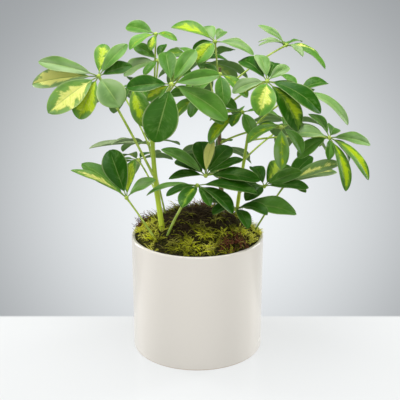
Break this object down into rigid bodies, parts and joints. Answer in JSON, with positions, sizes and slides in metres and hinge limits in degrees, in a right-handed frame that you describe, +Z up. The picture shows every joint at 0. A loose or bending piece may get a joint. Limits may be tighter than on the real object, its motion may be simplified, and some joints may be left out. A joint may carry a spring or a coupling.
{
  "type": "potted_umbrella_plant",
  "caption": "Dwarf umbrella plant with glossy green and yellow variegated leaflets, growing through moss in a plain cream glazed ceramic pot.",
  "frame": {"origin": "Centre of the pot's flat underside, on the surface that the plant stands on.", "axes": "+Z up along the pot's axis. -Y is the front, the side that faces the camera in the picture, and +X is to the right as seen from the front."},
  "size_m": [0.367, 0.219, 0.3723],
  "materials": {
    "glaze": "gloss",
    "potting_mix": "matte",
    "moss": "matte",
    "green_stem": "satin",
    "woody_stem": "matte",
    "leaf": "gloss"
  },
  "bodies": {
    "root": {"pot": "glaze", "soil": "potting_mix", "moss": "moss", "stem_left": "green_stem", "stem_centre": "woody_stem", "stem_right": "green_stem", "frond_left_crown": "leaf", "frond_top_left": "leaf", "frond_front_crown": "leaf", "frond_top_centre": "leaf", "frond_top_right": "leaf", "frond_front_right": "leaf", "frond_right_crown": "leaf", "frond_right_hanging": "leaf", "frond_middle": "leaf", "frond_low_centre": "leaf", "frond_low_front": "leaf", "frond_low_left": "leaf", "frond_inner_left": "leaf", "frond_low_right": "leaf", "frond_inner_right": "leaf", "frond_lowest_right": "leaf", "frond_upper_right": "leaf", "frond_upper_centre": "leaf", "frond_inner_top": "leaf", "frond_behind_left": "leaf", "frond_back_left": "leaf", "frond_back_top": "leaf", "frond_back_right": "leaf", "frond_back_low_left": "leaf", "frond_back_low": "leaf", "frond_top_tip": "leaf", "frond_inner_front": "leaf"}
  },
  "joints": []
}
